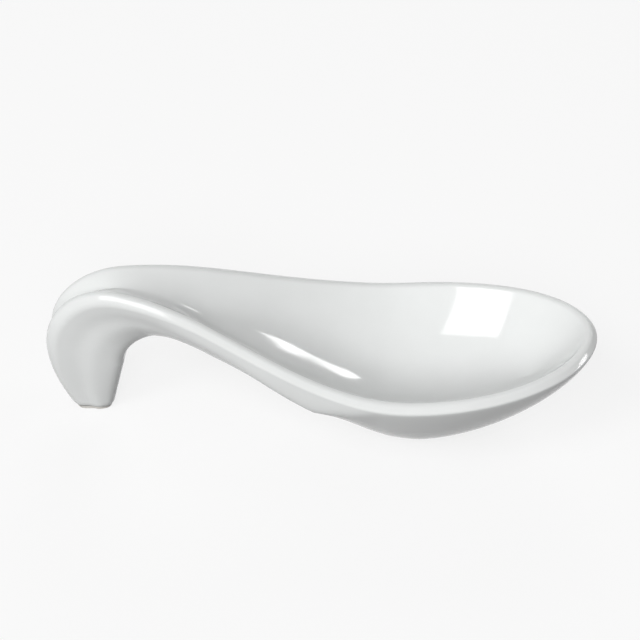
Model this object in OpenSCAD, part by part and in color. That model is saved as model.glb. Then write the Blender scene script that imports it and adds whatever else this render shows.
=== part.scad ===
// Amuse-bouche spoon: a teardrop bowl, a channelled handle that rises from it,
// and a hook that curls over and comes down as a leg to a flat foot.
// Lengths in mm, +Z up, bowl towards +X, table at z = 0.

/* [Overall] */
// Overall length, back of the hook to the bowl's tip
length = 120; // [112:1:130]
// Overall width across the bowl
width = 48.2; // [44:0.2:53]
// Thickness of the glaze
glaze_t = 0.3; // [0.2:0.05:0.4]
// Height of the bare band that the glaze is wiped from, round both feet
bare_band = 0.6; // [0.4:0.1:1]

/* [Rim section] */
// Radius of the rim's crown, glaze included
crown_r = 1.4; // [1.3:0.05:1.6]
// Width of the flat bevel that falls outward from the crown
bevel_w = 1; // [0.6:0.05:1.4]
// Width of that bevel over the hook, where it is broadest
hook_bevel = 1.8; // [1:0.05:2]
// Slope of that bevel
bevel_turn = 48; // [42:1:54]
// Radius of the outer edge below the bevel, glaze included
edge_r = 0.7; // [0.55:0.05:0.8]
// Angle from the rim's top at which that edge runs into the underside
rim_turn = 95; // [90:1:105]
// Slope at which the channel starts down from the crown
rim_lean = 52; // [47:1:55]
// The same slope over the hook
hook_lean = 37; // [33:1:42]

/* [Rim line] */
// Height of the rim line over the bowl, before it rises either way
rim_low = 16.9; // [15.5:0.1:18]
// Rise of the rim line from there to the bowl's tip
tip_rise = 5.1; // [3:0.1:7]
// Where that rise starts, behind the bowl's widest place
rise_back = 13.2; // [8:0.1:15]
// How late that rise comes
rise_skew = 1.6; // [1.4:0.05:2.2]
// Height of the rim line over the hook
rim_crest = 30.8; // [28:0.1:33]
// How far the rim's climb is held back towards the hook
climb_skew = 1.2; // [1:0.01:1.5]

/* [Bowl] */
// Length of the bowl's front, from its widest place to the tip of the rim line
front_len = 35.8; // [33:0.1:40]
// Depth of the bowl below the rim line
bowl_dip = 12.5; // [10.5:0.1:13]
// How deep the underside would go below the table if it weren't ground flat
base_cut = 1.6; // [1.2:0.1:2.2]
// How late the underside turns up towards the tip
front_skew = 1.48; // [1.4:0.02:2]

/* [Handle] */
// Depth of the handle's trough, rim line to underside
trough_t = 10.45; // [9.9:0.05:12]
// Depth of the channel in that trough
trough_dip = 3.8; // [3:0.1:4.2]
// Depth of the channel over the hook
crest_dip = 1.2; // [0.8:0.1:1.6]
// How late the channel deepens towards the bowl
dip_skew = 1.85; // [1.7:0.05:2.4]
// Height of the neck's side wall, between the rim and the edge where the belly starts
wall_h = 4.9; // [3.5:0.1:5.5]
// Where the neck is, behind the bowl's widest place
neck_back = 21.9; // [19:0.1:23]
// Where the side wall runs out under the rim, behind the bowl's widest place
wall_back = 9; // [7:0.1:13]
// Where the underside starts down to the base, behind the bowl's widest place
drop_back = 26.8; // [25:0.1:28]
// Where the underside reaches the base, behind the bowl's widest place
heel_back = 5.8; // [3:0.1:7]
// Half width of the rim line round the hook
tail_w = 3.2; // [3:0.1:4.2]

/* [Hook] */
// Reach of the hook, from its back forward to its crest
hook_reach = 15.2; // [14:0.1:17]
// Height of the rim line where the hook's back is upright
back_z = 16.3; // [15:0.1:18]
// Pull of the leg's back edge, as the height that its curve aims at
leg_pull = 8.1; // [7:0.1:10]
// How far the leg's back edge comes forward down to the foot
foot_set = 6.25; // [5:0.05:8]
// Length of the foot, back edge to front edge
foot_len = 5.9; // [5:0.05:7]
// How far the top of the arch lies in front of the crest
arch_lead = 9.4; // [8.7:0.05:9.7]
// Height of the arch over the table
arch_z = 19.1; // [18:0.1:20]
// Length of the arch's round, top to leg
arch_rx = 9.25; // [8.7:0.05:9.7]
// Height of the arch's round, top to leg
arch_rz = 7.4; // [7:0.1:9]

/* [Hidden] */

// The rim line is the middle of the crown's round, and the middle of the edge's round lies off it
round_step = crown_r - edge_r;
function edge_out(bevel) = round_step * sin(bevel_turn) + bevel * cos(bevel_turn);
function edge_up(bevel) = round_step * cos(bevel_turn) - bevel * sin(bevel_turn);
rim_out = edge_out(bevel_w) + edge_r;
rim_w = width / 2 - rim_out;
tip_x = length / 2 - rim_out;
back_x = -length / 2 + crown_r;
waist_x = tip_x - front_len;
rise_x = waist_x - rise_back;
crest_x = back_x + hook_reach;
hook_drop = rim_crest - back_z;

// The leg runs a little below the table and is ground off level
trim = 1;
leg_len = back_z + trim;
foot_out_x = back_x + foot_set;
foot_in_x = foot_out_x + foot_len;
arch_x = crest_x + arch_lead;
leg_in = [arch_x - arch_rx, arch_z - arch_rz];

// Depths at the two ends: of the channel at the foot and at the tip, and of the underside's line at the tip
foot_dip = -0.9;
tip_dip = 8.4;
tip_t = 9.9;

// Places along the rim line, measured along it round the hook and along X over the handle and the bowl
trough_lead = 20;
back_s = crest_x - hook_reach * PI / 2;
foot_s = back_s - leg_len;
trough_x = crest_x + trough_lead;
drop_x = waist_x - drop_back;
neck_x = waist_x - neck_back;
wall_x = waist_x - wall_back;
heel_x = waist_x - heel_back;
arch_ease = 12.2;
axis_ease = 20;

// Angle round the underside over which the side wall drops, 90 being the middle,
// and the share of its full height that it has in the trough
wall_turn = 14;
trough_wall = 0.24;

// Underside at each key place: [place, roundness of the keel, fullness of the sides, wall height]
KEYS = [
    [foot_s, 5, 4.7, 0],
    [back_s, 5, 4.7, 0],
    [crest_x, 2.16, 2.38, 0],
    [trough_x, 1.95, 1.71, trough_wall * wall_h],
    [neck_x, 1.58, 1.25, wall_h],
    [waist_x, 2.53, 1.09, 0],
    [tip_x, 2.14, 1.34, 0]
];

// Facets: stations along the leg, the hook, the handle and the bowl's front, then steps round a section
LEG_N = 4;
HOOK_N = 9;
HANDLE_N = 20;
FRONT_N = 14;
CHANNEL_N = 7;
CROWN_N = 2;
EDGE_N = 2;
WALL_N = 2;
HULL_N = 8;

// Helpers
function clamp(t) = max(0, min(1, t));
function mix(a, b, t) = a + (b - a) * t;
function ease(t) = let (k = clamp(t)) k * k * (3 - 2 * k);

// An underside value between the two key places that it lies between
function keyed(s, col, i = 0) =
    i == len(KEYS) - 2 || s <= KEYS[i + 1][0]
        ? mix(KEYS[i][col], KEYS[i + 1][col], ease((s - KEYS[i][0]) / (KEYS[i + 1][0] - KEYS[i][0])))
        : keyed(s, col, i + 1);

// Plan view: half width of the rim line, an ellipse in front and an eased taper behind
function taper_at(s) = clamp((s - back_x) / (waist_x - back_x));
function half_w(s) =
    s > waist_x
        ? rim_w * sqrt(max(0, 1 - pow((s - waist_x) / front_len, 2)))
        : mix(tail_w, rim_w, ease(taper_at(s)));

// Plan view: where a line square to the outline meets the middle
function axis_shift(s) =
    s > waist_x
        ? -pow(rim_w / front_len, 2) * (s - waist_x)
        : half_w(s) * (rim_w - tail_w) * 6 * taper_at(s) * (1 - taper_at(s)) / (waist_x - back_x);
function axis_s(s) = s + axis_shift(s) * ease((s - crest_x) / axis_ease);

// Side view: height of the rim line over the bowl and the handle
function rim_z(x) =
    mix(rim_low, rim_crest, ease(pow(clamp((waist_x - x) / (waist_x - crest_x)), climb_skew)))
    + tip_rise * pow(max(0, (x - rise_x) / (tip_x - rise_x)), rise_skew);

// Side view: angle round the hook and share of the leg
function hook_a(s) = min(90, (crest_x - s) / hook_reach * 180 / PI);
function leg_g(s) = clamp((back_s - s) / leg_len);

// Side view: the rim line, then the line of the underside's middle
function rim_at(s) =
    s >= crest_x ? [s, rim_z(s)]
    : s >= back_s ? [crest_x - hook_reach * sin(hook_a(s)), rim_crest - hook_drop * (1 - cos(hook_a(s)))]
    : let (g = leg_g(s))
        [mix(back_x, foot_out_x, g * g), (1 - g) * (1 - g) * back_z + 2 * g * (1 - g) * leg_pull - g * g * trim];

function trough_z(x) = mix(arch_z, rim_z(x) - trough_t, ease((x - arch_x) / arch_ease));
function under_z(x) =
    mix(trough_z(x), -base_cut, ease((x - drop_x) / (heel_x - drop_x)))
    + (rim_low + tip_rise - tip_t + base_cut) * pow(max(0, (x - waist_x) / front_len), front_skew);
function under_x(s) = s + arch_lead * ease((trough_x - s) / (trough_x - crest_x));
function under_at(s) =
    s >= crest_x ? [under_x(s), under_z(under_x(s))]
    : s >= back_s ? [arch_x - arch_rx * sin(hook_a(s)), arch_z - arch_rz * (1 - cos(hook_a(s)))]
    : mix(leg_in, [foot_in_x, -trim], leg_g(s));
function depth_at(s) = norm(under_at(s) - rim_at(s));

// The channel opens from the hook's section to the trough's, in its first slope and in its depth
function opening_at(s) = ease((s - crest_x) / trough_lead);
function lean_at(s) = mix(hook_lean, rim_lean, opening_at(s));

// Depth of the channel's middle below the rim line
function handle_dip(s) = mix(crest_dip, trough_dip, opening_at(s));
function dip_at(s) =
    s < crest_x
        ? mix(foot_dip, crest_dip, ease((s - foot_s) / (crest_x - foot_s)))
        : mix(handle_dip(s), bowl_dip, ease(pow(clamp((s - crest_x) / (waist_x - crest_x)), dip_skew)))
            + (tip_dip - bowl_dip) * ease((s - waist_x) / front_len);

// Height of the side wall, which runs out evenly from the neck to the bowl
function wall_at(s) = s > neck_x ? wall_h * clamp((wall_x - s) / (wall_x - neck_x)) : keyed(s, 3);

// Depth of the underside at an angle round it, from the rim's outer edge at 0 to the middle at 90
function hull_turn(i) =
    i <= WALL_N ? wall_turn * i / WALL_N : mix(wall_turn, 90, (i - WALL_N) / HULL_N);
function hull_depth(s, a, lip, full) =
    let (
        wall = wall_at(s),
        k = 1 - clamp(a / wall_turn)
    )
    lip + wall * (1 - k * k) + (full - lip - wall) * pow(sin(a), 2 / keyed(s, 2));

// A rib runs square to the outline, from the middle at 0 to the rim line at 1
function along(s, f) = mix(axis_s(s), s, f);
function spot(s, f, side, depth) =
    let (
        at = along(s, f),
        p = mix(rim_at(at), under_at(at), depth / depth_at(at))
    )
    [p[0], side * half_w(s) * f, p[1]];

// The rim's section as [share of the rib, depth], by the angle from its top: the crown, then the outer edge
function bevel_at(s) = mix(bevel_w, hook_bevel, (1 - opening_at(s)) * (1 - ease(leg_g(s))));
function crown_at(reach, inset, a) =
    let (r = crown_r - inset)
    [1 + r * sin(a) / reach, -r * cos(a)];
function edge_at(reach, inset, bevel, a) =
    let (r = edge_r - inset)
    [1 + (edge_out(bevel) + r * sin(a)) / reach, -edge_up(bevel) - r * cos(a)];
function rim_section(reach, inset, bevel, lean) = concat(
    [for (i = [0:CROWN_N]) crown_at(reach, inset, -lean * (1 - i / CROWN_N))],
    [for (i = [1:CROWN_N]) crown_at(reach, inset, bevel_turn * i / CROWN_N)],
    [for (i = [0:EDGE_N]) edge_at(reach, inset, bevel, mix(bevel_turn, rim_turn, i / EDGE_N))]
);

// One side of a station: along the channel, over the bevelled rim, down the wall and along the underside
function rib(s, side, grow) =
    let (
        reach = norm([s - axis_s(s), half_w(s)]),
        inset = glaze_t - grow,
        bevel = bevel_at(s),
        lean = lean_at(s),
        lip_in = crown_at(reach, inset, -lean),
        lip_out = edge_at(reach, inset, bevel, rim_turn),
        bend = reach * lip_in[0] * tan(lean) / (dip_at(s) + inset - lip_in[1])
    )
    concat(
        [for (i = [0:CHANNEL_N - 1])
            let (
                t = i / CHANNEL_N,
                f = lip_in[0] * t
            )
            spot(s, f, side, mix(dip_at(along(s, f)) + inset, lip_in[1], pow(t, bend)))],
        [for (p = rim_section(reach, inset, bevel, lean)) spot(s, p[0], side, p[1])],
        [for (i = [1:WALL_N + HULL_N])
            let (
                a = hull_turn(i),
                f = lip_out[0] * pow(cos(a), 2 / keyed(s, 1))
            )
            spot(s, f, side, hull_depth(s, a, lip_out[1], depth_at(along(s, f)) - inset))]
    );

// Stations from the foot to the tip, where the two sides meet
STATIONS = concat(
    [for (i = [0:LEG_N - 1]) mix(foot_s, back_s, i / LEG_N)],
    [for (i = [0:HOOK_N - 1]) mix(back_s, crest_x, i / HOOK_N)],
    [for (i = [0:HANDLE_N - 1]) mix(crest_x, waist_x, i / HANDLE_N)],
    [for (i = [0:FRONT_N - 1]) waist_x + front_len * sin(90 * i / FRONT_N)]
);
RIM_N = 2 * CROWN_N + EDGE_N + 2;
RIB_N = CHANNEL_N + RIM_N + WALL_N + HULL_N;
LOOP_N = 2 * RIB_N - 2;
SKIN_N = len(STATIONS) * LOOP_N + RIB_N;

function loop(s, grow) =
    let (far = rib(s, -1, grow))
    concat(rib(s, 1, grow), [for (j = [RIB_N - 2:-1:1]) far[j]]);
function skin_points(grow) =
    concat([for (s = STATIONS) each loop(s, grow)], rib(tip_x, 1, grow));

// The last rib closes both sides, so the far half of its loop goes back along the near half
function at_loop(i, j) =
    let (k = j % LOOP_N)
    i < len(STATIONS) || k < RIB_N ? i * LOOP_N + k : i * LOOP_N + LOOP_N - k;
function skin_faces(first, flip) =
    [for (i = [0:len(STATIONS) - 1], j = [0:LOOP_N - 1])
        let (
            a = first + at_loop(i, j),
            b = first + at_loop(i, j + 1),
            c = first + at_loop(i + 1, j + 1),
            d = first + at_loop(i + 1, j)
        )
        each flip ? [[c, b, a], [d, c, a]] : [[a, b, c], [a, c, d]]];

// Everything below a level, to grind or wipe a foot flat
module below(z) {
    deep = 10;
    translate([-length, -width, -deep])
        cube([2 * length, 2 * width, deep + z]);
}

// Fired body, ground flat under the bowl and under the leg
module porcelain_body() {
    foot_mid = mix(rim_at(foot_s), under_at(foot_s), 0.5);
    points = concat(skin_points(0), [[foot_mid[0], 0, foot_mid[1]]]);
    cap = [for (j = [0:LOOP_N - 1]) [SKIN_N, at_loop(0, j + 1), at_loop(0, j)]];
    color([0.93, 0.92, 0.89])
        difference() {
            polyhedron(points = points, faces = concat(skin_faces(0, false), cap), convexity = 6);
            below(0);
        }
}

// Glaze over the whole body, wiped off round the two ground faces
module glaze_coat() {
    points = concat(skin_points(glaze_t), skin_points(0));
    edge = [for (j = [0:LOOP_N - 1])
        let (
            a = at_loop(0, j),
            b = at_loop(0, j + 1)
        )
        each [[b, a, SKIN_N + a], [b, SKIN_N + a, SKIN_N + b]]];
    faces = concat(skin_faces(0, false), skin_faces(SKIN_N, true), edge);
    color([0.97, 0.98, 0.98])
        difference() {
            polyhedron(points = points, faces = faces, convexity = 10);
            below(bare_band);
        }
}

porcelain_body();
glaze_coat();
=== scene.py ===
import math

import bmesh
import bpy
import numpy as np
from mathutils import Matrix, Vector


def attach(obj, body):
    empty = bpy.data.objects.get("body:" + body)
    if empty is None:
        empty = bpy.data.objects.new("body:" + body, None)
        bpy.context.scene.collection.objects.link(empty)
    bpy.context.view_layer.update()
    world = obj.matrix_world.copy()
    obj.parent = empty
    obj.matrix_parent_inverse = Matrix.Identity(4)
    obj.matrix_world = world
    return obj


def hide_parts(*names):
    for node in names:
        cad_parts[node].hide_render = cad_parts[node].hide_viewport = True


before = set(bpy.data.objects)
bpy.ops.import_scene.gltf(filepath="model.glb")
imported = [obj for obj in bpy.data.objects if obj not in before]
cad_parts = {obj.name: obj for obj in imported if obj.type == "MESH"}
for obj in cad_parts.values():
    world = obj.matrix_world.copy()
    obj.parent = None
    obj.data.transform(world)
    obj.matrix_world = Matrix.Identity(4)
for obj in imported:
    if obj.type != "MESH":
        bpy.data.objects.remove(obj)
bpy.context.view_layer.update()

# Looks of a glazed porcelain tasting spoon. The form is worked out in millimetres, bowl towards +X
# and table at z = 0, and the meshes are made in metres
MM = 0.001

# Overall
LENGTH = 120
WIDTH = 48.2
GLAZE_T = 0.3
BARE_BAND = 0.6

# Rim section
CROWN_R = 1.4
BEVEL_W = 1
HOOK_BEVEL = 1.8
BEVEL_TURN = math.radians(48)
EDGE_R = 0.7
RIM_TURN = math.radians(95)
RIM_LEAN = math.radians(52)
HOOK_LEAN = math.radians(37)

# Rim line
RIM_LOW = 16.9
TIP_RISE = 5.1
RISE_BACK = 13.2
RISE_SKEW = 1.6
RIM_CREST = 30.8
CLIMB_SKEW = 1.2

# Bowl
FRONT_LEN = 35.8
BOWL_DIP = 12.5
BASE_CUT = 1.6
FRONT_SKEW = 1.48
TIP_DIP = 8.4
TIP_T = 9.9

# Handle
TROUGH_T = 10.45
TROUGH_DIP = 3.8
CREST_DIP = 1.2
DIP_SKEW = 1.85
WALL_H = 4.9
NECK_BACK = 21.9
WALL_BACK = 9
DROP_BACK = 26.8
HEEL_BACK = 5.8
TAIL_W = 3.2
TROUGH_LEAD = 20
TROUGH_WALL = 0.24
WALL_TURN = math.radians(14)
AXIS_EASE = 20

# Hook
HOOK_REACH = 15.2
BACK_Z = 16.3
LEG_PULL = 8.1
FOOT_SET = 6.25
FOOT_LEN = 5.9
FOOT_DIP = -0.9
TRIM = 1
ARCH_LEAD = 9.4
ARCH_Z = 19.1
ARCH_RX = 9.25
ARCH_RZ = 7.4
ARCH_EASE = 12.2

# The rim line is the middle of the crown's round, and the outer edge lies off it by this
RIM_OUT = (CROWN_R - EDGE_R) * math.sin(BEVEL_TURN) + BEVEL_W * math.cos(BEVEL_TURN) + EDGE_R

# Places that follow from those
RIM_W = WIDTH / 2 - RIM_OUT
TIP_X = LENGTH / 2 - RIM_OUT
BACK_X = -LENGTH / 2 + CROWN_R
WAIST_X = TIP_X - FRONT_LEN
RISE_X = WAIST_X - RISE_BACK
CREST_X = BACK_X + HOOK_REACH
LEG_LEN = BACK_Z + TRIM
FOOT_OUT_X = BACK_X + FOOT_SET
FOOT_IN_X = FOOT_OUT_X + FOOT_LEN
ARCH_X = CREST_X + ARCH_LEAD
BACK_S = CREST_X - HOOK_REACH * math.pi / 2
FOOT_S = BACK_S - LEG_LEN
TROUGH_X = CREST_X + TROUGH_LEAD
DROP_X = WAIST_X - DROP_BACK
NECK_X = WAIST_X - NECK_BACK
WALL_X = WAIST_X - WALL_BACK
HEEL_X = WAIST_X - HEEL_BACK

# Underside at each key place: place, roundness of the keel, fullness of the sides, wall height
KEYS = np.array([
    [FOOT_S, 5, 4.7, 0],
    [BACK_S, 5, 4.7, 0],
    [CREST_X, 2.16, 2.38, 0],
    [TROUGH_X, 1.95, 1.71, TROUGH_WALL * WALL_H],
    [NECK_X, 1.58, 1.25, WALL_H],
    [WAIST_X, 2.53, 1.09, 0],
    [TIP_X, 2.14, 1.34, 0],
])
KEEL, SIDES, WALL = 1, 2, 3

# Mesh steps: along the leg, the hook, the handle and the bowl's front, then round a section
LEG_N = 24
HOOK_N = 40
HANDLE_N = 90
FRONT_N = 60
CHANNEL_N = 30
CROWN_N = 7
BEVEL_N = 3
EDGE_N = 8
HULL_N = 44
RIB_N = CHANNEL_N + 2 * CROWN_N + BEVEL_N + EDGE_N + 1 + HULL_N
TRACE_N = 400

# Height over which the glaze thins to its wiped edge
GLAZE_EDGE = 0.4

# The glaze softens the bevel's outer edge over the hook, and by less down the leg
HOOK_EDGE_R = 3.2
LEG_EDGE = 0.5

# Slight swell of the hook's and the leg's sides, over this share of their depth
SWELL = 0.2
SWELL_SPAN = 0.85

# Keeps the smooth skin inside the box of the faceted part
SNUG = 0.9998

# Noise values between these two are spread over a material's whole range
NOISE_LOW = 0.3
NOISE_HIGH = 0.7

# Glaze: darkest and lightest tone, least and most roughness, the ripple's height, and the grain of
# each in millimetres
GLAZE_TONES = ((0.835, 0.85, 0.843), (0.855, 0.87, 0.863))
GLAZE_TONE_GRAIN = 9
GLAZE_ROUGH = (0.05, 0.1)
GLAZE_ROUGH_GRAIN = 2.5
RIPPLE_H = 0.004
RIPPLE_GRAIN = 4
GLAZE_IOR = 1.52

# Bare porcelain: the same values, with the relief that grinding leaves
BARE_TONES = ((0.74, 0.715, 0.67), (0.85, 0.83, 0.79))
BARE_TONE_GRAIN = 0.5
BARE_ROUGH = (0.7, 0.9)
BARE_ROUGH_GRAIN = 0.8
GRIND_H = 0.02
GRIND_GRAIN = 0.25

# Camera: the point that it looks at in metres, its direction and distance, sensor and lens, and how
# far below the middle of the picture that point lies, in pixels
TARGET = Vector((0, 0, 12)) * MM
VIEW_TURN = math.radians(4)
VIEW_RISE = math.radians(37)
VIEW_FAR = 455 * MM
SENSOR = 36
LENS = 116.07
PICTURE_PX = 640
LOWER_PX = 42.4

# Floor and surround: half the floor's side in metres, the tone that lights the spoon from below, the
# white that is seen, the share of it that a shadow leaves, and the surround's light on the spoon
FLOOR_HALF = 3.0
FLOOR_TONE = (0.05, 0.05, 0.05)
FLOOR_WHITE = (0.98, 0.98, 0.98)
FLOOR_GLOW = 0.8
WORLD_LIGHT = 0.05

# Lamps: how far they stand off and how large they are, in metres
LAMP_FAR = 2.0
PANEL = (1.0, 1.0)
KEY_WINDOW = (0.85, 0.85)
STREAK_SLIT = (0.08, 0.15)
GLINT_STRIP = (0.8, 0.22)


def clamp(t):
    return np.clip(t, 0.0, 1.0)


def mix(a, b, t):
    return a + (b - a) * t


def ease(t):
    k = clamp(t)
    return k * k * (3 - 2 * k)


def keyed(s, column):
    """A value of the underside, eased between the two key places that s lies between."""
    places = KEYS[:, 0]
    values = KEYS[:, column]
    i = np.clip(np.searchsorted(places, s) - 1, 0, len(places) - 2)
    return mix(values[i], values[i + 1], ease((s - places[i]) / (places[i + 1] - places[i])))


# Plan view
def taper_at(s):
    return clamp((s - BACK_X) / (WAIST_X - BACK_X))


def half_width(s):
    """Half width of the rim line: an ellipse in front and an eased taper behind."""
    front = RIM_W * np.sqrt(np.maximum(0, 1 - ((s - WAIST_X) / FRONT_LEN) ** 2))
    rear = mix(TAIL_W, RIM_W, ease(taper_at(s)))
    return np.where(s > WAIST_X, front, rear)


def axis_place(s):
    """Where a line square to the outline meets the middle. Behind, 6 t (1 - t) is the taper's slope."""
    t = taper_at(s)
    front = -((RIM_W / FRONT_LEN) ** 2) * (s - WAIST_X)
    rear = half_width(s) * (RIM_W - TAIL_W) * 6 * t * (1 - t) / (WAIST_X - BACK_X)
    return s + np.where(s > WAIST_X, front, rear) * ease((s - CREST_X) / AXIS_EASE)


# Side view
def rim_height(x):
    climb = clamp((WAIST_X - x) / (WAIST_X - CREST_X)) ** CLIMB_SKEW
    rise = np.maximum(0, (x - RISE_X) / (TIP_X - RISE_X)) ** RISE_SKEW
    return mix(RIM_LOW, RIM_CREST, ease(climb)) + TIP_RISE * rise


def hook_angle(s):
    return np.clip((CREST_X - s) / HOOK_REACH, 0, math.pi / 2)


def leg_share(s):
    return clamp((BACK_S - s) / LEG_LEN)


def by_stretch(s, handle, hook, leg):
    """X and Z of a line, from those of its three stretches."""
    behind = [np.where(s >= BACK_S, b, c) for b, c in zip(hook, leg)]
    whole = [np.where(s >= CREST_X, a, rest) for a, rest in zip(handle, behind)]
    return np.stack(whole, axis=-1)


def rim_line(s):
    a = hook_angle(s)
    g = leg_share(s)
    hook = (CREST_X - HOOK_REACH * np.sin(a), RIM_CREST - (RIM_CREST - BACK_Z) * (1 - np.cos(a)))
    leg_z = (1 - g) ** 2 * BACK_Z + 2 * g * (1 - g) * LEG_PULL - g * g * TRIM
    leg = (mix(BACK_X, FOOT_OUT_X, g * g), leg_z)
    return by_stretch(s, (s, rim_height(s)), hook, leg)


def under_height(x):
    trough = mix(ARCH_Z, rim_height(x) - TROUGH_T, ease((x - ARCH_X) / ARCH_EASE))
    turn_up = np.maximum(0, (x - WAIST_X) / FRONT_LEN) ** FRONT_SKEW
    keel = mix(trough, -BASE_CUT, ease((x - DROP_X) / (HEEL_X - DROP_X)))
    return keel + (RIM_LOW + TIP_RISE - TIP_T + BASE_CUT) * turn_up


def under_line(s):
    a = hook_angle(s)
    g = leg_share(s)
    x = s + ARCH_LEAD * ease((TROUGH_X - s) / (TROUGH_X - CREST_X))
    hook = (ARCH_X - ARCH_RX * np.sin(a), ARCH_Z - ARCH_RZ * (1 - np.cos(a)))
    leg = (mix(ARCH_X - ARCH_RX, FOOT_IN_X, g), mix(ARCH_Z - ARCH_RZ, -TRIM, g))
    return by_stretch(s, (x, under_height(x)), hook, leg)


def full_depth(s):
    return np.linalg.norm(under_line(s) - rim_line(s), axis=-1)


def opening(s):
    """How far the channel has opened from the hook's section to the trough's."""
    return ease((s - CREST_X) / TROUGH_LEAD)


def channel_lean(s):
    """Slope at which the channel starts down from the crown."""
    return mix(HOOK_LEAN, RIM_LEAN, opening(s))


def channel_depth(s):
    """Depth of the channel's middle below the rim line."""
    hook = mix(FOOT_DIP, CREST_DIP, ease((s - FOOT_S) / (CREST_X - FOOT_S)))
    deepen = clamp((s - CREST_X) / (WAIST_X - CREST_X)) ** DIP_SKEW
    bowl = mix(mix(CREST_DIP, TROUGH_DIP, opening(s)), BOWL_DIP, ease(deepen))
    bowl = bowl + (TIP_DIP - BOWL_DIP) * ease((s - WAIST_X) / FRONT_LEN)
    return np.where(s < CREST_X, hook, bowl)


def wall_height(s):
    run_out = WALL_H * clamp((WALL_X - s) / (WALL_X - NECK_X))
    return np.where(s > NECK_X, run_out, keyed(s, WALL))


# Ribs run square to the outline, from the middle at 0 to the rim line at 1
def along(s, f):
    return mix(axis_place(s), s, f)


def spot(s, f, depth):
    """The point of a rib at share f of its length and so deep below the rim line."""
    at = along(s, f)
    share = (depth / full_depth(at))[..., None]
    p = mix(rim_line(at), under_line(at), share)
    return np.stack([p[..., 0], half_width(s) * f, p[..., 1]], axis=-1)


def side_swell(s, down):
    """How far the hook's sides stand out, as a share of the rib: dished under the bevel, then full."""
    t = clamp(down / SWELL_SPAN)
    wave = np.sin(2 * math.pi * t) * np.sin(math.pi * t) ** 2
    return -SWELL * (1 - opening(s)) * wave / np.maximum(half_width(s), TAIL_W)


def hull_spot(s, angle, lip, inset):
    """The underside at an angle round it, from the rim's outer edge at 0 to the middle at 90 degrees."""
    down = np.sin(angle) ** (2 / keyed(s, SIDES))
    f = lip[0] * np.cos(angle).clip(0) ** (2 / keyed(s, KEEL)) + side_swell(s, down)
    full = full_depth(along(s, f)) - inset
    wall = wall_height(s)
    k = 1 - clamp(angle / WALL_TURN)
    depth = lip[1] + wall * (1 - k * k) + (full - lip[1] - wall) * down
    return spot(s, f, depth)


# The rim's section as share of the rib and depth, by the angle from its top. Adding 0 * reach gives
# every rib its own row
def crown_spot(reach, inset, angle):
    radius = CROWN_R - inset
    return 1 + radius * np.sin(angle) / reach, -radius * np.cos(angle) + 0 * reach


def hooked(s):
    """1 on the hook, eased out along the handle and down the leg."""
    return (1 - opening(s)) * (1 - ease(leg_share(s)))


def edge_radius(s):
    """Radius of the outer edge's round, which is softest over the hook."""
    return mix(EDGE_R, HOOK_EDGE_R, (1 - opening(s)) * (1 - LEG_EDGE * ease(leg_share(s))))


def bevel_width(s):
    """Width of the bevel: broadest over the hook, less what a softer edge takes off it."""
    taken = (edge_radius(s) - EDGE_R) * math.tan((RIM_TURN - BEVEL_TURN) / 2)
    return mix(BEVEL_W, HOOK_BEVEL, hooked(s)) - taken


def edge_spot(s, reach, inset, angle):
    radius = edge_radius(s)
    step = CROWN_R - radius
    bevel = bevel_width(s)
    out = step * math.sin(BEVEL_TURN) + bevel * math.cos(BEVEL_TURN)
    up = step * math.cos(BEVEL_TURN) - bevel * math.sin(BEVEL_TURN)
    share = 1 + (out + (radius - inset) * np.sin(angle)) / reach
    return share, -up - (radius - inset) * np.cos(angle) + 0 * reach


def rim_section(s, reach, inset):
    """Over the crown from the channel, down the bevel and round the outer edge."""
    turn = np.linspace(0, 1, CROWN_N, endpoint=False)[None, :]
    fall = np.linspace(0, 1, BEVEL_N, endpoint=False)[None, :]
    edge_turn = np.linspace(BEVEL_TURN, RIM_TURN, EDGE_N + 1)[None, :]
    bevel_top = crown_spot(reach, inset, BEVEL_TURN)
    bevel_foot = edge_spot(s, reach, inset, BEVEL_TURN)
    parts = [
        crown_spot(reach, inset, -channel_lean(s) * (1 - turn)),
        crown_spot(reach, inset, BEVEL_TURN * turn),
        [mix(top, foot, fall) for top, foot in zip(bevel_top, bevel_foot)],
        edge_spot(s, reach, inset, edge_turn),
    ]
    return [np.concatenate(values, axis=1) for values in zip(*parts)]


def even_angles(s):
    """Angles that space the underside's points evenly, station by station."""
    trace = np.linspace(0, math.pi / 2, TRACE_N)[None, :]
    lip = edge_spot(s, np.hypot(s - axis_place(s), half_width(s)), 0, RIM_TURN)
    points = hull_spot(s, trace, lip, 0)
    steps = np.linalg.norm(np.diff(points, axis=1), axis=-1)
    run = np.concatenate([np.zeros_like(s), np.cumsum(steps, axis=1)], axis=1)
    wanted = np.linspace(0, 1, HULL_N + 1)[1:]
    return np.array([np.interp(wanted * r[-1], r, trace[0]) for r in run])


def ribs(s, angles, glaze):
    """Every rib of one side: along the channel, over the bevelled rim and along the underside."""
    reach = np.hypot(s - axis_place(s), half_width(s))
    inset = GLAZE_T - glaze
    lean = channel_lean(s)
    lip_in = crown_spot(reach, inset, -lean)
    lip_out = edge_spot(s, reach, inset, RIM_TURN)
    t = np.linspace(0, 1, CHANNEL_N, endpoint=False)[None, :]
    f = lip_in[0] * t
    bend = reach * lip_in[0] * np.tan(lean) / (channel_depth(s) + inset - lip_in[1])
    channel = spot(s, f, mix(channel_depth(along(s, f)) + inset, lip_in[1], t ** bend))
    rim = spot(s, *rim_section(s, reach, inset))
    return np.concatenate([channel, rim, hull_spot(s, angles, lip_out, inset)], axis=1)


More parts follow.
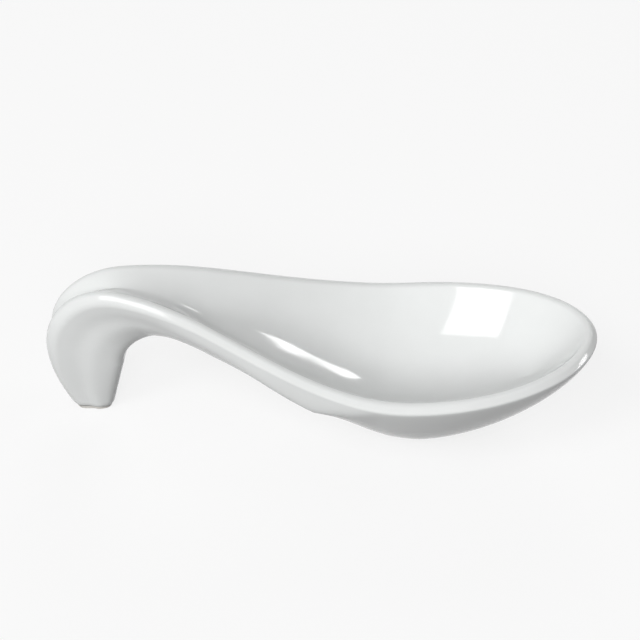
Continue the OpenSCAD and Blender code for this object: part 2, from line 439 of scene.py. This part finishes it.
def stations():
    """Places of the ribs as a column, from the foot to the tip, where they lie closest together."""
    stretches = [
        np.linspace(FOOT_S, BACK_S, LEG_N, endpoint=False),
        np.linspace(BACK_S, CREST_X, HOOK_N, endpoint=False),
        np.linspace(CREST_X, WAIST_X, HANDLE_N, endpoint=False),
        WAIST_X + FRONT_LEN * np.sin(np.linspace(0, math.pi / 2, FRONT_N + 1)),
    ]
    return np.concatenate(stretches)[:, None]


def skin(glaze):
    """Points of the whole skin in metres: a closed loop at each station, then one rib at the tip."""
    s = stations()
    side = ribs(s, even_angles(s), glaze) * SNUG * MM
    other = side[:-1, -2:0:-1] * [1, -1, 1]
    loops = np.concatenate([side[:-1], other], axis=1)
    return np.concatenate([loops.reshape(-1, 3), side[-1]])


def skin_faces():
    """Quads between neighbouring loops. The tip's rib closes both sides."""
    loop_n = 2 * RIB_N - 2
    rows = len(stations()) - 1
    j = np.arange(loop_n)
    loops = np.arange(rows)[:, None] * loop_n + j
    tip = rows * loop_n + np.where(j < RIB_N, j, loop_n - j)
    index = np.vstack([loops, tip])
    after = np.roll(index, -1, axis=1)
    quads = np.stack([index[:-1], after[:-1], after[1:], index[1:]], axis=-1)
    return quads.reshape(-1, 4).tolist()


def new_bmesh(points):
    mesh = bpy.data.meshes.new("skin")
    mesh.from_pydata(points.tolist(), [], skin_faces())
    bm = bmesh.new()
    bm.from_mesh(mesh)
    bpy.data.meshes.remove(mesh)
    bm.verts.ensure_lookup_table()
    return bm


def cut_below(bm, height):
    everything = bm.verts[:] + bm.edges[:] + bm.faces[:]
    level = (0, 0, height)
    bmesh.ops.bisect_plane(bm, geom=everything, plane_co=level, plane_no=(0, 0, 1), clear_inner=True)


def add_piece(name, bm, node, material):
    mesh = bpy.data.meshes.new(name)
    bm.to_mesh(mesh)
    bm.free()
    mesh.materials.append(material)
    piece = bpy.data.objects.new(name, mesh)
    bpy.context.scene.collection.objects.link(piece)
    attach(piece, "root")
    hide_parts(node)


def smooth_faces(bm):
    for face in bm.faces:
        face.smooth = True


def make_body(material):
    """The fired body, ground flat under the bowl and under the leg."""
    bm = new_bmesh(skin(0))
    cut_below(bm, 0)
    smooth_faces(bm)
    edges = [e for e in bm.edges if e.is_boundary]
    for edge in edges:
        edge.smooth = False
    bmesh.ops.holes_fill(bm, edges=edges, sides=0)
    add_piece("bare_porcelain", bm, "porcelain_body", material)


def make_glaze(material):
    """The glaze, wiped off round the two ground faces, where it thins to a rounded edge."""
    inner = skin(0)
    bm = new_bmesh(inner)
    lift = bm.verts.layers.float_vector.new("lift")
    for vert, step in zip(bm.verts, skin(GLAZE_T) - inner):
        vert[lift] = step
    cut_below(bm, BARE_BAND * MM)
    smooth_faces(bm)
    inside = bm.faces[:]
    edge_verts = [v for v in bm.verts if v.is_boundary]
    made = bmesh.ops.duplicate(bm, geom=bm.verts[:] + bm.edges[:] + inside)
    bmesh.ops.reverse_faces(bm, faces=inside)
    for vert in (v for v in made["geom"] if isinstance(v, bmesh.types.BMVert)):
        rise = clamp((vert.co.z / MM - BARE_BAND) / GLAZE_EDGE)
        vert.co += Vector(vert[lift]) * math.sqrt(1 - (1 - rise) ** 2)
    weld = {made["vert_map"][v]: v for v in edge_verts}
    for v, target in weld.items():
        v.co = target.co
    bmesh.ops.weld_verts(bm, targetmap=weld)
    bm.verts.layers.float_vector.remove(lift)
    add_piece("glaze", bm, "glaze_coat", material)


# Materials
def new_material(name):
    material = bpy.data.materials.new(name)
    material.use_nodes = True
    tree = material.node_tree
    return material, tree, tree.nodes["Principled BSDF"]


def add_node(tree, kind, **settings):
    """A node of that kind, with its settings and the constant values of its sockets."""
    node = tree.nodes.new(kind)
    for key, value in settings.items():
        if key in node.inputs:
            node.inputs[key].default_value = value
        else:
            setattr(node, key, value)
    return node


def add_noise(tree, grain_mm, detail=2.0):
    """Noise with grains of that size, in the object's own coordinates."""
    place = add_node(tree, "ShaderNodeTexCoord")
    noise = add_node(tree, "ShaderNodeTexNoise", Scale=1 / (grain_mm * MM), Detail=detail)
    tree.links.new(place.outputs["Object"], noise.inputs["Vector"])
    return noise.outputs["Fac"]


def add_range(tree, value, low, high, start=NOISE_LOW, end=NOISE_HIGH):
    """A value from start to end, spread over the range from low to high."""
    spread = add_node(tree, "ShaderNodeMapRange")
    spread.inputs["From Min"].default_value = start
    spread.inputs["From Max"].default_value = end
    spread.inputs["To Min"].default_value = low
    spread.inputs["To Max"].default_value = high
    tree.links.new(value, spread.inputs["Value"])
    return spread.outputs["Result"]


def add_tones(tree, value, dark, light):
    """Two tones of a colour, by a noise value."""
    ramp = add_node(tree, "ShaderNodeValToRGB")
    first, last = ramp.color_ramp.elements
    first.position = NOISE_LOW
    first.color = (*dark, 1)
    last.position = NOISE_HIGH
    last.color = (*light, 1)
    tree.links.new(value, ramp.inputs["Fac"])
    return ramp.outputs["Color"]


def add_bump(tree, value, height_mm, shader):
    bump = add_node(tree, "ShaderNodeBump", Distance=height_mm * MM)
    tree.links.new(value, bump.inputs["Height"])
    tree.links.new(bump.outputs["Normal"], shader.inputs["Normal"])


def glaze_material():
    """White gloss glaze with a faintly uneven tone and a slow ripple."""
    material, tree, shader = new_material("white_glaze")
    tone = add_tones(tree, add_noise(tree, GLAZE_TONE_GRAIN), *GLAZE_TONES)
    tree.links.new(tone, shader.inputs["Base Color"])
    rough = add_range(tree, add_noise(tree, GLAZE_ROUGH_GRAIN, detail=3.0), *GLAZE_ROUGH)
    tree.links.new(rough, shader.inputs["Roughness"])
    add_bump(tree, add_noise(tree, RIPPLE_GRAIN, detail=1.0), RIPPLE_H, shader)
    shader.inputs["IOR"].default_value = GLAZE_IOR
    return material


def porcelain_material():
    """Bare fired porcelain: off-white, matt and finely grained from grinding."""
    material, tree, shader = new_material("bare_porcelain")
    tone = add_tones(tree, add_noise(tree, BARE_TONE_GRAIN, detail=4.0), *BARE_TONES)
    tree.links.new(tone, shader.inputs["Base Color"])
    rough = add_range(tree, add_noise(tree, BARE_ROUGH_GRAIN), *BARE_ROUGH)
    tree.links.new(rough, shader.inputs["Roughness"])
    add_bump(tree, add_noise(tree, GRIND_GRAIN, detail=3.0), GRIND_H, shader)
    return material


# Stage
def spherical(turn, rise):
    """Unit direction from the spoon, turned from the front to the right and raised from the table."""
    flat = math.cos(rise)
    return Vector((math.sin(turn) * flat, -math.cos(turn) * flat, math.sin(rise)))


def make_camera():
    data = bpy.data.cameras.new("camera")
    data.sensor_width = SENSOR
    data.lens = LENS
    data.shift_y = LOWER_PX / PICTURE_PX
    camera = bpy.data.objects.new("camera", data)
    back = spherical(VIEW_TURN, VIEW_RISE)
    camera.location = TARGET + back * VIEW_FAR
    camera.rotation_euler = back.to_track_quat("Z", "Y").to_euler()
    bpy.context.scene.collection.objects.link(camera)
    bpy.context.scene.camera = camera


def seen_rays(tree):
    """1 for the rays that show the background itself: camera, glossy and transmission rays."""
    path = add_node(tree, "ShaderNodeLightPath")
    total = path.outputs["Is Camera Ray"]
    for name in ("Is Glossy Ray", "Is Transmission Ray"):
        highest = add_node(tree, "ShaderNodeMath", operation="MAXIMUM")
        tree.links.new(total, highest.inputs[0])
        tree.links.new(path.outputs[name], highest.inputs[1])
        total = highest.outputs[0]
    return total


def mix_shaders(tree, share, first, second):
    """The second shader by that share, which is a number or a socket, and the first for the rest."""
    blend = add_node(tree, "ShaderNodeMixShader")
    if isinstance(share, float):
        blend.inputs["Fac"].default_value = share
    else:
        tree.links.new(share, blend.inputs["Fac"])
    tree.links.new(first, blend.inputs[1])
    tree.links.new(second, blend.inputs[2])
    return blend.outputs["Shader"]


def floor_material():
    """Pale floor that shows white to the camera and in reflections, and keeps the spoon's shadow."""
    material, tree, shader = new_material("pale_floor")
    shader.inputs["Base Color"].default_value = (*FLOOR_TONE, 1)
    shader.inputs["Roughness"].default_value = 1
    shader.inputs["Specular IOR Level"].default_value = 0
    white = add_node(tree, "ShaderNodeBsdfDiffuse", Color=(*FLOOR_WHITE, 1))
    glow = add_node(tree, "ShaderNodeEmission", Strength=1.0)
    shown = mix_shaders(tree, FLOOR_GLOW, white.outputs["BSDF"], glow.outputs["Emission"])
    whole = mix_shaders(tree, seen_rays(tree), shader.outputs["BSDF"], shown)
    tree.links.new(whole, tree.nodes["Material Output"].inputs["Surface"])
    return material


def make_floor():
    mesh = bpy.data.meshes.new("floor")
    corners = [(-1, -1), (1, -1), (1, 1), (-1, 1)]
    mesh.from_pydata([(x * FLOOR_HALF, y * FLOOR_HALF, 0) for x, y in corners], [], [(0, 1, 2, 3)])
    mesh.materials.append(floor_material())
    floor = bpy.data.objects.new("floor", mesh)
    bpy.context.scene.collection.objects.link(floor)


def make_world():
    """An even soft surround that shows white."""
    world = bpy.data.worlds.new("surround")
    world.use_nodes = True
    bpy.context.scene.world = world
    tree = world.node_tree
    back = tree.nodes["Background"]
    back.inputs["Color"].default_value = (1, 1, 1, 1)
    level = add_range(tree, seen_rays(tree), WORLD_LIGHT, 1, start=0, end=1)
    tree.links.new(level, back.inputs["Strength"])


def softbox(name, turn, rise, size, level, roll=0, lights=True, mirrored=True):
    """A rectangular lamp that faces the spoon from a direction in degrees, as bright as its level says.

    One that isn't mirrored lights the spoon without a reflection of its own in the gloss, and one
    that doesn't light only gives the reflection."""
    data = bpy.data.lights.new(name, "AREA")
    data.shape = "RECTANGLE"
    data.size, data.size_y = size
    data.energy = level * math.pi * size[0] * size[1]
    lamp = bpy.data.objects.new(name, data)
    towards = spherical(math.radians(turn), math.radians(rise))
    across = Vector((0, 0, 1)).cross(towards).normalized()
    facing = Matrix((across, towards.cross(across), towards)).transposed()
    lamp.matrix_world = (facing @ Matrix.Rotation(math.radians(roll), 3, "Z")).to_4x4()
    lamp.location = TARGET + towards * LAMP_FAR
    lamp.visible_camera = False
    lamp.visible_diffuse = lights
    lamp.visible_glossy = mirrored
    bpy.context.scene.collection.objects.link(lamp)


def make_lamps():
    """A window that the bowl mirrors, soft panels all round, and two lamps that are only mirrored."""
    softbox("key", turn=-43, rise=48, size=KEY_WINDOW, level=4.4, roll=20)
    softbox("front", turn=0, rise=35, size=PANEL, level=7.2, mirrored=False)
    softbox("left", turn=-60, rise=15, size=PANEL, level=3.6, mirrored=False)
    softbox("back", turn=180, rise=15, size=PANEL, level=4.8, mirrored=False)
    softbox("far_right", turn=120, rise=40, size=PANEL, level=1.1, mirrored=False)
    softbox("streak", turn=151, rise=26, size=STREAK_SLIT, level=9.0, lights=False)
    softbox("glint", turn=98, rise=26, size=GLINT_STRIP, level=9.0, lights=False)


make_glaze(glaze_material())
make_body(porcelain_material())
make_camera()
make_floor()
make_world()
make_lamps()
bpy.context.scene.view_settings.view_transform = "Standard"
